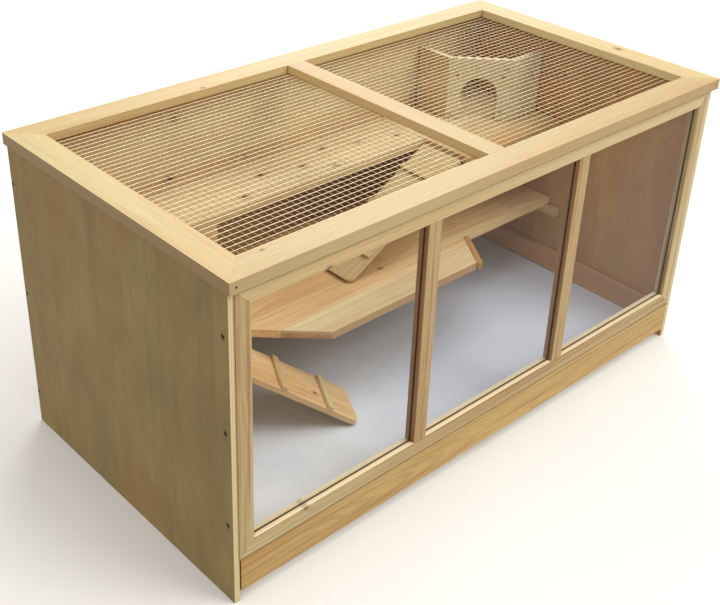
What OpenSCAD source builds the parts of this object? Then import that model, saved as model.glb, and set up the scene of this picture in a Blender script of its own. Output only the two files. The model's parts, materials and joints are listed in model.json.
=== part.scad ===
// Wooden hamster cage: plywood box, three front windows, two shelves, two swinging ramps,
// a nest room, a corner house and a hinged lid of welded wire mesh.
// Millimetres. Origin: middle of the footprint, on the ground. +Z up, +X right, windows face -Y.

/* [Overall] */
// Width over the lid
cage_w = 1150; // [1120:5:1180]
// Depth over the lid, front to back
cage_d = 600; // [590:5:620]
// Height from the ground to the top of the lid
cage_h = 580; // [570:5:600]

/* [Lid] */
// Thickness of the lid rails
lid_t = 20; // [16:1:24]
// Width of the four lid rails
lid_rail_w = 50; // [44:1:56]
// Width of the bar between the two mesh windows
crossbar_w = 40; // [30:1:50]
// How far the lid stands out past the side panels
lid_side_overhang = 4; // [2:0.5:6]
// How far the lid stands out past the front frame
lid_front_overhang = 8; // [4:1:12]
// Gap between the closed lid and what it rests on
lid_gap = 0.3; // [0.3:0.1:0.6]

/* [Wire mesh] */
// Spacing of the wires, both ways
mesh_pitch = 12.7; // [11:0.1:16]
// Diameter of one wire
wire_d = 1; // [0.8:0.1:1.5]
// Depth of the rebate under the rails that holds the mesh
rebate_d = 5; // [4:0.5:7]
// Width of that rebate
rebate_w = 10; // [9:0.5:14]
// Number of staples along each side of a mesh sheet
staples_per_side = 5; // [3:1:8]

/* [Panels] */
// Thickness of the plywood side and back panels
panel_t = 10; // [8:0.5:12]
// Space behind the back panel that the lid hinges fill
hinge_space = 4; // [4:0.1:4.5]
// How far the front frame stands proud of the side panels
frame_proud = 2; // [0:0.5:3]

/* [Front frame] */
// Depth of the frame, front to back
frame_t = 20; // [18:1:24]
// Height of the top and bottom rails
rail_h = 30; // [26:1:34]
// Width of the two outer stiles
stile_w = 28; // [26:1:32]
// Width of the two mullions between the windows
mullion_w = 30; // [26:1:34]
// Distance between the two mullions, centre to centre
mullion_pitch = 366; // [340:1:380]
// How far the pair of mullions sits right of the middle
mullion_shift = 3; // [-6:1:6]
// Radius of the rounded edge around each window
frame_round = 2; // [1:0.5:5]
// Thickness of the clear window sheets
pane_t = 3; // [2:0.5:4]
// How deep the sheets sit in their grooves
pane_bite = 5; // [4:0.5:6]
// Height of the frame's bottom above the ground
frame_z = 84; // [80:1:90]
// Height of the plinth board's bottom above the ground
plinth_z = 20; // [14:1:24]
// Open joint between the plinth and the frame above it
plinth_joint = 1; // [0.5:0.1:2]

/* [Floor] */
// Height of the floor's top
floor_z = 30; // [28:1:34]
// Thickness of the white floor board
floor_t = 9; // [6:1:10]
// Height of the skirting boards
skirting_h = 50; // [40:1:52]
// Thickness of the skirting boards
skirting_t = 12; // [9:1:16]

/* [Mid shelf] */
// Thickness of the boards of both shelves
shelf_t = 16; // [14:1:18]
// Height of the mid shelf's top
mid_z = 200; // [195:1:205]
// Depth of the wide part of the mid shelf
mid_wide_d = 338; // [330:1:345]
// Depth of its narrow right part
mid_narrow_d = 249; // [240:1:260]
// Length of the narrow part, from the right wall
mid_narrow_len = 284; // [270:1:300]
// Length of the slanted edge, measured along the width
mid_slant = 57; // [40:1:70]
// Width of the edging batten on the slanted edge
batten_w = 12; // [9:1:16]
// Open joint between the shelf and that batten
batten_joint = 0.8; // [0.3:0.1:1.5]
// Width of the landing between the left wall and the ramp's notch
landing_w = 172; // [165:1:180]
// Distance from the left wall to the notch's far corner
notch_far = 398; // [390:1:410]
// Direction of the notch's far side
notch_far_angle = 137.6; // [136:0.1:140]
// Depth of the front shelf boards
front_board_d = 64; // [55:1:75]
// Depth of the back shelf boards
back_board_d = 136; // [120:1:150]

/* [Upper floor] */
// Height of the upper floor's top
upper_z = 385; // [380:1:390]
// Depth of the narrow part, along the back wall
upper_narrow_d = 134; // [130:1:140]
// Depth of the wide right part
upper_wide_d = 249; // [245:1:255]
// Length of the wide part, from the right wall
upper_wide_len = 296; // [290:1:305]
// Side of the square cleats that carry both shelves
cleat = 18; // [15:1:20]

/* [Nest room] */
// Length of the nest room under the upper floor
nest_w = 298; // [280:1:320]
// Thickness of its walls
nest_t = 12; // [9:1:15]
// Width of the nest room's doorway
nest_door_w = 70; // [60:1:80]
// Height of that doorway
nest_door_h = 100; // [90:1:120]

/* [Corner house] */
// Width of the house
house_w = 189; // [180:1:200]
// Depth of the house
house_d = 184; // [175:1:190]
// Size of the slanted corner, measured along either wall
house_cut = 96; // [90:1:100]
// Height of the house walls
house_h = 137; // [120:1:150]
// Thickness of the house walls
house_t = 9; // [6:1:10]
// Gap between the house walls and the panels behind and beside them
house_gap = 3; // [0.5:0.5:4]
// Width of its doorway
house_door_w = 77; // [70:1:80]
// Height of its doorway
house_door_h = 94; // [88:1:100]

/* [Ramps] */
// Width of both ramps
ramp_w = 100; // [90:1:104]
// Thickness of the ramp boards
ramp_t = 10; // [8:0.5:12]
// Length of the upper ramp
upper_ramp_l = 338; // [330:1:345]
// Length of the lower ramp
lower_ramp_l = 275; // [270:1:285]
// Plan direction in which the lower ramp goes down
lower_ramp_heading = -28; // [-29:0.5:-27]
// Distance from the lower ramp's hinge middle to the shelf's front edge, along the hinge
lower_ramp_inset = 93; // [92:0.5:95]
// Width of the cross strips on the ramps
strip_w = 12; // [8:1:14]
// Height of the cross strips
strip_h = 7; // [5:0.5:7]
// Distance from the foot to the first strip
strip_first = 66; // [60:1:70]
// Spacing of the strips
strip_pitch = 102; // [95:1:105]

/* [Hinges] */
// Radius of the hinge barrels
barrel_r = 2; // [1.8:0.05:2]
// Radius of the hinge pins
pin_r = 1; // [0.8:0.05:1]
// Thickness of the hinge leaves
leaf_t = 1; // [0.8:0.05:1]
// Width of one leaf, from the pin
leaf_w = 16; // [14:1:18]
// Length of the lid hinges
lid_hinge_l = 60; // [50:2:70]
// Distance of the outer lid hinges from the middle
lid_hinge_x = 420; // [380:5:450]
// Length of the ramp hinges
ramp_hinge_l = 50; // [40:2:60]

/* [Fasteners] */
// Radius of the panel screws' thread
panel_screw_r = 1.75; // [1.5:0.05:2]
// Radius of their heads
panel_head_r = 3.8; // [3:0.1:4]
// Length of the panel screws
panel_screw_l = 28; // [24:1:30]
// Radius of the hinge screws' thread
hinge_screw_r = 1.1; // [1:0.05:1.2]
// Length of the hinge screws
hinge_screw_l = 7; // [5:0.5:8]
// Radius of the nails in the lid's corners
nail_r = 1; // [0.8:0.05:1.2]

/* [Hidden] */
$fn = 32;

// Clearance of a fastener in its own hole
fit = 0.05;
// A little more than nothing, for cuts that run past a face
cut = 1;
lid_z = cage_h - lid_t;
body_top = lid_z - lid_gap;
outer_x = cage_w / 2 - lid_side_overhang;
inner_x = outer_x - panel_t;
frame_y = -cage_d / 2 + lid_front_overhang;
panel_front_y = frame_y + frame_proud;
inner_front_y = frame_y + frame_t;
outer_back_y = cage_d / 2 - hinge_space;
inner_back_y = outer_back_y - panel_t;
// The back panel stops short of the lid, to leave room for the hinge leaves
leaf_room = 0.5;
back_panel_h = lid_z - leaf_t - leaf_room;
// The windows sit loosely in grooves just in front of the middle of the frame
groove_slack = 0.4;
groove_spare_d = 0.5;
groove_forward = 0.3;
groove_t = pane_t + groove_slack;
groove_y = (frame_t - groove_t) / 2 - groove_forward;
groove_d = pane_bite + groove_spare_d;
// The front screws go into the stiles behind the window grooves
screw_y_front = frame_y + 14.5;
screw_z_front = [150, 322, 485];
screw_z_back = [68, 278, 490];
mid_front_y = inner_back_y - mid_wide_d;
upper_edge_x = inner_x - upper_wide_len;
wood = "#d9b77c";
wood_orange = "#cf9f60";
plywood = "#a8946b";
steel = "#b9bcc0";

// ---- Hinges -------------------------------------------------------------------------------

knuckles = 5;
knuckle_gap = 0.3;
relief = 0.4;
// Distance of the leaf's screws from the pin
leaf_screw_u = leaf_w - 6;
head_r = 2.1;
hinge_recess_d = 0.6;
panel_recess_d = 1.2;

function knuckle_l(length) = (length - (knuckles - 1) * knuckle_gap) / knuckles;
function knuckle_x(length, i) = -length / 2 + i * (knuckle_l(length) + knuckle_gap);

// A bar with the given outline in its Y-Z plane, along X
module along_x(length) {
    rotate([90, 0, 90])
        linear_extrude(length)
            children();
}

// One hinge leaf. Its barrel lies along X, its plate reaches out to +Y and its +Z face meets the wood.
module hinge_leaf(length, first) {
    difference() {
        union() {
            translate([-length / 2, barrel_r + relief, barrel_r - leaf_t])
                cube([length, leaf_w - barrel_r - relief, leaf_t]);
            for (i = [first : 2 : knuckles - 1])
                translate([knuckle_x(length, i), 0, 0])
                    along_x(knuckle_l(length)) {
                        circle(barrel_r);
                        translate([0, barrel_r - leaf_t])
                            square([barrel_r + relief + cut, leaf_t]);
                    }
        }
        translate([-length, 0, 0])
            along_x(2 * length)
                circle(pin_r + fit);
        hinge_screws(length, fit);
    }
}

// The two countersunk screws of a leaf, or their holes when grown by extra
module hinge_screws(length, extra) {
    for (side = [-1, 1])
        translate([side * length / 4, leaf_screw_u, barrel_r - leaf_t]) {
            cylinder(h = leaf_t, r1 = head_r + extra, r2 = hinge_screw_r + extra);
            translate([0, 0, leaf_t])
                cylinder(h = hinge_screw_l + extra, r = hinge_screw_r + extra);
        }
}

// The screws of a leaf, with the cross-shaped slots in their heads
module slotted_hinge_screws(length) {
    difference() {
        hinge_screws(length, 0);
        for (side = [-1, 1])
            translate([side * length / 4, leaf_screw_u, barrel_r - leaf_t])
                cross_recess(head_r, hinge_recess_d);
    }
}

// The slot of a screw head of the given radius that lies at the origin and faces -Z
module cross_recess(head, depth) {
    arm = head * 0.55;
    width = head / 4;
    for (turn = [0, 90])
        rotate([0, 0, turn])
            translate([-arm, -width / 2, -cut])
                cube([2 * arm, width, depth + cut]);
}

module hinge_pin(length) {
    translate([-length / 2, 0, 0])
        along_x(length)
            circle(pin_r);
}

// ---- Places of the moving parts -----------------------------------------------------------

// Slope of a ramp whose foot is to hang just clear of what is below it
function slope(drop, length) = asin(drop / norm([length, barrel_r])) + atan(barrel_r / length);

foot_gap = 0.3;
axis_out = 1;
// Gap between the upper ramp and the edge of the floor beside it
side_gap = 4;
upper_axis_y = inner_back_y - upper_narrow_d - side_gap - ramp_w / 2;
upper_axis = [upper_edge_x - axis_out, upper_axis_y, upper_z - shelf_t - barrel_r];
upper_slope = slope(upper_axis.z - mid_z - foot_gap, upper_ramp_l);
lower_dir = [cos(lower_ramp_heading), sin(lower_ramp_heading)];
edge_dir = [-lower_dir.y, lower_dir.x];
notch_near = [-inner_x + landing_w, mid_front_y];
lower_axis_xy = notch_near + lower_ramp_inset * edge_dir + axis_out * lower_dir;
lower_axis = [lower_axis_xy.x, lower_axis_xy.y, mid_z - shelf_t - barrel_r];
lower_slope = slope(lower_axis.z - floor_z - foot_gap, lower_ramp_l);
lid_axis = [0, outer_back_y + barrel_r, lid_z - barrel_r];

module at_lid_hinges() {
    for (x = [-lid_hinge_x, 0, lid_hinge_x])
        translate(lid_axis + [x, 0, 0])
            children();
}

// Frames in which a ramp goes down towards +Y, level
module at_upper_axis() {
    translate(upper_axis)
        rotate([0, 0, 90])
            children();
}

module at_lower_axis() {
    translate(lower_axis)
        rotate([0, 0, lower_ramp_heading - 90])
            children();
}

// From a hinge leaf's own frame to the back panel's outer face
module on_back_panel() {
    at_lid_hinges()
        mirror([0, 0, 1])
            rotate([90, 0, 0])
                children();
}

module under_lid() {
    at_lid_hinges()
        rotate([0, 0, 180])
            children();
}

module under_upper_floor() {
    at_upper_axis()
        rotate([0, 0, 180])
            children();
}

module under_mid_shelf() {
    at_lower_axis()
        rotate([0, 0, 180])
            children();
}

module on_upper_ramp() {
    at_upper_axis()
        rotate([-upper_slope, 0, 0])
            children();
}

module on_lower_ramp() {
    at_lower_axis()
        rotate([-lower_slope, 0, 0])
            children();
}

// ---- Panels -------------------------------------------------------------------------------

// Puts its child on each screw of the left panel, pointing into the wood
module at_left_panel_screws() {
    for (z = screw_z_front)
        translate([-outer_x, screw_y_front, z])
            rotate([0, 90, 0])
                children();
    for (z = screw_z_back)
        translate([-outer_x, (inner_back_y + outer_back_y) / 2, z])
            rotate([0, 90, 0])
                children();
}

module at_all_panel_screws() {
    at_left_panel_screws()
        children();
    mirror([1, 0, 0])
        at_left_panel_screws()
            children();
}

// A countersunk screw, or its hole when grown by extra
module panel_screw(extra) {
    head_l = panel_head_r - panel_screw_r;
    cylinder(h = head_l, r1 = panel_head_r + extra, r2 = panel_screw_r + extra);
    cylinder(h = panel_screw_l + extra, r = panel_screw_r + extra);
}

module panel_screws() {
    color("#3a3430")
        at_all_panel_screws()
            difference() {
                panel_screw(0);
                cross_recess(panel_head_r, panel_recess_d);
            }
}

module side_panel_left() {
    color(plywood)
        difference() {
            translate([-outer_x, panel_front_y, 0])
                cube([panel_t, outer_back_y - panel_front_y, body_top]);
            at_left_panel_screws()
                panel_screw(fit);
        }
}

module side_panel_right() {
    mirror([1, 0, 0])
        side_panel_left();
}

module back_panel() {
    color(plywood)
        difference() {
            translate([-inner_x, inner_back_y, 0])
                cube([2 * inner_x, panel_t, back_panel_h]);
            at_all_panel_screws()
                panel_screw(fit);
            on_back_panel()
                hinge_screws(lid_hinge_l, fit);
        }
}

module floor_board() {
    color("#e9e9f0")
        translate([-inner_x, inner_front_y, floor_z - floor_t])
            cube([2 * inner_x, inner_back_y - inner_front_y, floor_t]);
}

// Three bars across the underside of the floor
module floor_bearers() {
    off_ground = 1;
    bearer_h = floor_z - floor_t - off_ground;
    color(wood)
        for (x = [-inner_x, -cleat / 2, inner_x - cleat])
            translate([x, inner_front_y, off_ground])
                cube([cleat, inner_back_y - inner_front_y, bearer_h]);
}

module front_plinth() {
    end_gap = 2;
    color(wood_orange)
        translate([-inner_x + end_gap, frame_y, plinth_z])
            cube([2 * (inner_x - end_gap), frame_t, frame_z - plinth_joint - plinth_z]);
}

module skirting_left() {
    color(wood_orange)
        translate([-inner_x, inner_front_y, floor_z])
            cube([skirting_t, inner_back_y - inner_front_y, skirting_h]);
}

module skirting_right() {
    mirror([1, 0, 0])
        skirting_left();
}

module skirting_back() {
    color(wood_orange)
        translate([-inner_x + skirting_t, inner_back_y - skirting_t, floor_z])
            cube([2 * (inner_x - skirting_t), skirting_t, skirting_h]);
}

// ---- Front frame --------------------------------------------------------------------------

// Outline of a frame member: depth along X, width up, the window side on top
module member_outline(width) {
    difference() {
        union() {
            square([frame_t, width - frame_round]);
            translate([frame_round, 0])
                square([frame_t - frame_round, width]);
            translate([frame_round, width - frame_round])
                circle(frame_round);
        }
        translate([groove_y, width - groove_d])
            square([groove_t, groove_d + cut]);
    }
}

// A frame member along X, its back edge at z = 0
module member(length, width) {
    translate([-length / 2, frame_y, 0])
        along_x(length)
            member_outline(width);
}

// A prism along Y whose outline is drawn as seen from the front
module seen_from_front() {
    translate([0, frame_y + frame_t + cut, 0])
        rotate([90, 0, 0])
            linear_extrude(frame_t + 2 * cut)
                children();
}

module frame_bottom_rail() {
    color(wood)
        intersection() {
            translate([0, 0, frame_z])
                member(2 * inner_x, rail_h);
            seen_from_front()
                polygon([
                    [-inner_x, frame_z], [inner_x, frame_z],
                    [inner_x - stile_w, frame_z + rail_h], [-inner_x + stile_w, frame_z + rail_h]
                ]);
        }
}

module frame_top_rail() {
    translate([0, 0, frame_z + body_top])
        mirror([0, 0, 1])
            frame_bottom_rail();
}

module frame_left_stile() {
    stile_l = body_top - frame_z;
    color(wood)
        difference() {
            intersection() {
                translate([-inner_x, 0, frame_z + stile_l / 2])
                    rotate([0, 90, 0])
                        member(stile_l, stile_w);
                seen_from_front()
                    polygon([
                        [-inner_x, frame_z], [-inner_x + stile_w, frame_z + rail_h],
                        [-inner_x + stile_w, body_top - rail_h], [-inner_x, body_top]
                    ]);
            }
            at_left_panel_screws()
                panel_screw(fit);
        }
}

module frame_right_stile() {
    mirror([1, 0, 0])
        frame_left_stile();
}

// A mullion fits over the rails' rounded edges and has a stub tenon in their grooves
module mullion(x) {
    bottom = frame_z + rail_h - pane_bite;
    top = body_top - rail_h + pane_bite;
    color(wood)
        difference() {
            translate([x, 0, (bottom + top) / 2])
                rotate([0, 90, 0])
                    for (side = [0, 1])
                        mirror([0, 0, side])
                            member(top - bottom, mullion_w / 2);
            frame_bottom_rail();
            frame_top_rail();
        }
}

module frame_left_mullion() {
    mullion(mullion_shift - mullion_pitch / 2);
}

module frame_right_mullion() {
    mullion(mullion_shift + mullion_pitch / 2);
}

// A window sheet between two frame faces
module window(left, right) {
    bottom = frame_z + rail_h - pane_bite;
    top = body_top - rail_h + pane_bite;
    color([0.85, 0.93, 0.95, 0.3])
        translate([left - pane_bite, frame_y + groove_y + (groove_t - pane_t) / 2, bottom])
            cube([right - left + 2 * pane_bite, pane_t, top - bottom]);
}

module window_left() {
    window(-inner_x + stile_w, mullion_shift - mullion_pitch / 2 - mullion_w / 2);
}

module window_middle() {
    half = (mullion_pitch - mullion_w) / 2;
    window(mullion_shift - half, mullion_shift + half);
}

module window_right() {
    window(mullion_shift + mullion_pitch / 2 + mullion_w / 2, inner_x - stile_w);
}

// ---- Mid shelf ----------------------------------------------------------------------------

far_dir = [cos(notch_far_angle), sin(notch_far_angle)];
notch_far_corner = [-inner_x + notch_far, mid_front_y];
// How far along the ramp's edge the notch's two sides meet
notch_reach = (notch_far - landing_w) * far_dir.y / (edge_dir.x * far_dir.y - edge_dir.y * far_dir.x);
notch_apex = notch_near + notch_reach * edge_dir;
slant_right = [inner_x - mid_narrow_len, inner_back_y - mid_narrow_d];
slant_left = [slant_right.x - mid_slant, mid_front_y];

module mid_shelf_outline() {
    polygon([
        [-inner_x, inner_back_y], [-inner_x, mid_front_y], notch_near, notch_apex, notch_far_corner,
        slant_left, slant_right, [inner_x, slant_right.y], [inner_x, inner_back_y]
    ]);
}

// The strip of the shelf between two depths and two sides
module mid_shelf_strip(x_min, x_max, y_min, y_max) {
    difference() {
        translate([0, 0, mid_z - shelf_t])
            linear_extrude(shelf_t)
                intersection() {
                    mid_shelf_outline();
                    translate([x_min, y_min])
                        square([x_max - x_min, y_max - y_min]);
                }
        under_mid_shelf()
            hinge_screws(ramp_hinge_l, fit);
    }
}

module mid_shelf_landing_board() {
    color(wood)
        mid_shelf_strip(-inner_x, notch_apex.x, mid_front_y, mid_front_y + front_board_d);
}

module mid_shelf_front_board() {
    color(wood)
        mid_shelf_strip(notch_apex.x, inner_x, mid_front_y, mid_front_y + front_board_d);
}

module mid_shelf_middle_board() {
    color(wood_orange)
        mid_shelf_strip(-inner_x, inner_x, mid_front_y + front_board_d, inner_back_y - back_board_d);
}

module mid_shelf_back_board() {
    color(wood)
        mid_shelf_strip(-inner_x, inner_x, inner_back_y - back_board_d, inner_back_y);
}

module mid_shelf_batten() {
    slant = slant_right - slant_left;
    color(wood_orange)
        translate([slant_left.x, slant_left.y, mid_z - shelf_t])
            rotate([0, 0, atan2(slant.y, slant.x)])
                translate([0, -batten_w - batten_joint, 0])
                    cube([norm(slant), batten_w, shelf_t]);
}

// A cleat along a side wall, from a given place to the back cleat
module side_cleat(side, front_y, top_z) {
    x = side < 0 ? -inner_x : inner_x - cleat;
    translate([x, front_y, top_z - cleat])
        cube([cleat, inner_back_y - front_y, cleat]);
}

module back_cleat(x_min, top_z) {
    translate([x_min, inner_back_y - cleat, top_z - cleat])
        cube([inner_x - cleat - x_min, cleat, cleat]);
}

module mid_shelf_side_cleats() {
    show = 30;
    color(wood) {
        side_cleat(-1, mid_front_y + show / 2, mid_z - shelf_t);
        side_cleat(1, slant_right.y - show, mid_z - shelf_t);
    }
}

module mid_shelf_back_cleat() {
    color(wood)
        back_cleat(-inner_x + cleat, mid_z - shelf_t);
}

// ---- Upper floor --------------------------------------------------------------------------

upper_front_y = inner_back_y - upper_narrow_d;
upper_wide_y = inner_back_y - upper_wide_d;

module upper_board(x_min, y_min, y_max) {
    difference() {
        translate([x_min, y_min, upper_z - shelf_t])
            cube([inner_x - x_min, y_max - y_min, shelf_t]);
        under_upper_floor()
            hinge_screws(ramp_hinge_l, fit);
    }
}

module upper_floor_back_board() {
    color(wood)
        upper_board(-inner_x, inner_back_y - upper_narrow_d / 2, inner_back_y);
}

module upper_floor_front_board() {
    color(wood_orange)
        upper_board(-inner_x, upper_front_y, inner_back_y - upper_narrow_d / 2);
}

module upper_floor_right_board() {
    color(wood)
        upper_board(upper_edge_x, upper_wide_y, upper_front_y);
}

module upper_floor_side_cleats() {
    color(wood) {
        side_cleat(-1, upper_front_y + nest_t, upper_z - shelf_t);
        side_cleat(1, upper_wide_y, upper_z - shelf_t);
    }
}

module upper_floor_back_cleat() {
    color(wood)
        back_cleat(-inner_x + nest_w, upper_z - shelf_t);
}

// ---- Nest room ----------------------------------------------------------------------------

nest_h = upper_z - shelf_t - mid_z;

module nest_front_wall() {
    color(wood)
        translate([-inner_x, upper_front_y, mid_z])
            cube([nest_w - nest_t, nest_t, nest_h]);
}

// A doorway with a round top, drawn upright from the middle of its sill
module doorway(width, height) {
    translate([-width / 2, -cut])
        square([width, height - width / 2 + cut]);
    translate([0, height - width / 2])
        circle(width / 2);
}

module nest_side_wall() {
    color(wood)
        translate([-inner_x + nest_w - nest_t, upper_front_y, mid_z])
            along_x(nest_t)
                difference() {
                    square([upper_narrow_d, nest_h]);
                    translate([upper_narrow_d / 2, 0])
                        doorway(nest_door_w, nest_door_h);
                }
}

// ---- Corner house -------------------------------------------------------------------------

house_x = inner_x - house_w;
house_y = inner_back_y - house_d;
// How far the mitre of a 45 degree corner runs back along the wall
mitre = house_t * tan(22.5);

module house_wall(outline) {
    color(wood)
        translate([0, 0, upper_z])
            linear_extrude(house_h)
                polygon(outline);
}

module house_side_wall() {
    back = inner_back_y - house_gap;
    house_wall([
        [house_x, back], [house_x, house_y + house_cut],
        [house_x + house_t, house_y + house_cut + mitre], [house_x + house_t, back]
    ]);
}

module house_front_wall() {
    right = inner_x - house_gap;
    house_wall([
        [right, house_y], [house_x + house_cut, house_y],
        [house_x + house_cut + mitre, house_y + house_t], [right, house_y + house_t]
    ]);
}

module house_door_wall() {
    color(wood)
        difference() {
            house_wall([
                [house_x, house_y + house_cut], [house_x + house_cut, house_y],
                [house_x + house_cut + mitre, house_y + house_t],
                [house_x + house_t, house_y + house_cut + mitre]
            ]);
            translate([house_x + house_cut / 2, house_y + house_cut / 2, upper_z])
                rotate([90, 0, -45])
                    linear_extrude(4 * house_t, center = true)
                        doorway(house_door_w, house_door_h);
        }
}

// ---- Lid ----------------------------------------------------------------------------------

lid_x = cage_w / 2;
lid_y = cage_d / 2;
window_x = lid_x - lid_rail_w;
window_y = lid_y - lid_rail_w;
// Room between the edge of a mesh sheet and the side of its rebate
mesh_room = 1;
mesh_overlap = rebate_w - mesh_room;
// The two layers of wire just clear each other
layer_gap = 0.02;
top_wire_z = lid_z + rebate_d - wire_d / 2;
low_wire_z = top_wire_z - wire_d - layer_gap;
nail_l = 32;
nail_head_r = 1.9;
nail_head_t = 1;
// Distance of the nails from the lid's sides
nail_inset = 11;

module lid_nails(extra) {
    for (x = [-1, 1], y = [-1, 1])
        translate([x * (lid_x - nail_inset), y * lid_y, lid_z + lid_t / 2])
            rotate([y * 90, 0, 0]) {
                cylinder(h = nail_l + extra, r = nail_r + extra);
                cylinder(h = nail_head_t, r = nail_head_r + extra);
            }
}

module lid_corner_nails() {
    color("#4a4038")
        lid_nails(0);
}

// The space under the rails that the mesh lies in
module mesh_rebate() {
    width = window_x - crossbar_w / 2 + 2 * rebate_w;
    depth = 2 * (window_y + rebate_w);
    for (side = [-1, 1])
        at_sheet(side)
            translate([0, 0, lid_z + rebate_d / 2])
                cube([width, depth, rebate_d + fit], center = true);
}

// A lid rail whose outline is drawn as seen from above
module lid_rail(outline) {
    color(wood)
        difference() {
            translate([0, 0, lid_z])
                linear_extrude(lid_t)
                    polygon(outline);
            mesh_rebate();
            staple_legs(fit);
            lid_nails(fit);
            under_lid()
                hinge_screws(lid_hinge_l, fit);
        }
}

module lid_front_rail() {
    lid_rail([[-lid_x, -lid_y], [lid_x, -lid_y], [window_x, -window_y], [-window_x, -window_y]]);
}

module lid_back_rail() {
    lid_rail([[-lid_x, lid_y], [lid_x, lid_y], [window_x, window_y], [-window_x, window_y]]);
}

module lid_left_rail() {
    lid_rail([[-lid_x, -lid_y], [-window_x, -window_y], [-window_x, window_y], [-lid_x, lid_y]]);
}

module lid_right_rail() {
    lid_rail([[lid_x, -lid_y], [window_x, -window_y], [window_x, window_y], [lid_x, lid_y]]);
}

module lid_crossbar() {
    lid_rail([
        [-crossbar_w / 2, -window_y], [crossbar_w / 2, -window_y],
        [crossbar_w / 2, window_y], [-crossbar_w / 2, window_y]
    ]);
}

// Size of one sheet of mesh, and how many wires cross it each way
sheet_w = window_x - crossbar_w / 2 + 2 * mesh_overlap;
sheet_d = 2 * (window_y + mesh_overlap);
wire_end = 4;
wires_x = floor((sheet_w / 2 - wire_end) / mesh_pitch);
wires_y = floor((sheet_d / 2 - wire_end) / mesh_pitch);

// A sheet of mesh about its own middle
module mesh_sheet() {
    for (i = [-wires_y : wires_y])
        translate([-sheet_w / 2, i * mesh_pitch, top_wire_z])
            rotate([0, 90, 0])
                cylinder(h = sheet_w, r = wire_d / 2, $fn = 16);
    for (i = [-wires_x : wires_x])
        translate([i * mesh_pitch, -sheet_d / 2, low_wire_z])
            rotate([-90, 0, 0])
                cylinder(h = sheet_d, r = wire_d / 2, $fn = 16);
}

module at_sheet(side) {
    translate([side * (window_x + crossbar_w / 2) / 2, 0, 0])
        children();
}

module lid_mesh_left() {
    color(steel)
        at_sheet(-1)
            mesh_sheet();
}

module lid_mesh_right() {
    color(steel)
        at_sheet(1)
            mesh_sheet();
}

// ---- Staples ------------------------------------------------------------------------------

staple_w = 1.2;
staple_t = 0.7;
staple_half = 4.5;
staple_l = 9;
// Each staple straddles the end of one wire, halfway between the sheet's edge and its last cross wire
staple_step_x = floor(2 * wires_x / staples_per_side);
staple_step_y = floor(2 * wires_y / staples_per_side);
staple_first = (staples_per_side - 1) / 2;
staple_inset = 1.8;
crown_z = low_wire_z - wire_d / 2 - staple_t - fit;

// Puts its child on each staple's place: along the Y-wires' ends, then along the X-wires' ends
module at_staples() {
    for (side = [-1, 1])
        at_sheet(side)
            for (end = [-1, 1], i = [0 : staples_per_side - 1]) {
                wire_x = round((i - staple_first) * staple_step_x) * mesh_pitch;
                wire_y = round((i - staple_first) * staple_step_y) * mesh_pitch;
                translate([wire_x, end * (sheet_d / 2 - staple_inset), crown_z])
                    children();
                translate([end * (sheet_w / 2 - staple_inset), wire_y, crown_z])
                    rotate([0, 0, 90])
                        children();
            }
}

module staple_legs(extra) {
    at_staples()
        for (side = [-1, 1])
            translate([side * staple_half - staple_t / 2 - extra, -staple_w / 2 - extra, 0])
                cube([staple_t + 2 * extra, staple_w + 2 * extra, staple_l + extra]);
}

module mesh_staples() {
    color(steel) {
        staple_legs(0);
        at_staples()
            translate([-staple_half, -staple_w / 2, 0])
                cube([2 * staple_half, staple_w, staple_t]);
    }
}

// ---- Hinge pieces -------------------------------------------------------------------------

module lid_hinge_cage_leaves() {
    color(steel)
        on_back_panel()
            hinge_leaf(lid_hinge_l, 0);
}

module lid_hinge_lid_leaves() {
    color(steel)
        under_lid()
            hinge_leaf(lid_hinge_l, 1);
}

module upper_floor_hinge_leaf() {
    color(steel)
        under_upper_floor()
            hinge_leaf(ramp_hinge_l, 0);
}

module mid_shelf_hinge_leaf() {
    color(steel)
        under_mid_shelf()
            hinge_leaf(ramp_hinge_l, 0);
}

module upper_ramp_hinge_leaf() {
    color(steel)
        on_upper_ramp()
            hinge_leaf(ramp_hinge_l, 1);
}

module lower_ramp_hinge_leaf() {
    color(steel)
        on_lower_ramp()
            hinge_leaf(ramp_hinge_l, 1);
}

module hinge_pins() {
    color(steel) {
        at_lid_hinges()
            hinge_pin(lid_hinge_l);
        at_upper_axis()
            hinge_pin(ramp_hinge_l);
        at_lower_axis()
            hinge_pin(ramp_hinge_l);
    }
}

module cage_hinge_screws() {
    color(steel) {
        on_back_panel()
            slotted_hinge_screws(lid_hinge_l);
        under_upper_floor()
            slotted_hinge_screws(ramp_hinge_l);
        under_mid_shelf()
            slotted_hinge_screws(ramp_hinge_l);
    }
}

module lid_hinge_screws() {
    color(steel)
        under_lid()
            slotted_hinge_screws(lid_hinge_l);
}

module ramp_hinge_screws_upper() {
    color(steel)
        on_upper_ramp()
            slotted_hinge_screws(ramp_hinge_l);
}

module ramp_hinge_screws_lower() {
    color(steel)
        on_lower_ramp()
            slotted_hinge_screws(ramp_hinge_l);
}

// ---- Ramps --------------------------------------------------------------------------------

end_gap = 0.5;
foot_r = 12;

// A ramp board in its hinge's frame, square at the hinge and with round corners at the foot
module ramp_board(length) {
    difference() {
        translate([0, 0, barrel_r])
            linear_extrude(ramp_t) {
                translate([-ramp_w / 2, end_gap])
                    square([ramp_w, length - foot_r - end_gap]);
                translate([-ramp_w / 2 + foot_r, end_gap])
                    square([ramp_w - 2 * foot_r, length - end_gap]);
                for (side = [-1, 1])
                    translate([side * (ramp_w / 2 - foot_r), length - foot_r])
                        circle(foot_r);
            }
        hinge_screws(ramp_hinge_l, fit);
    }
}

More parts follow.
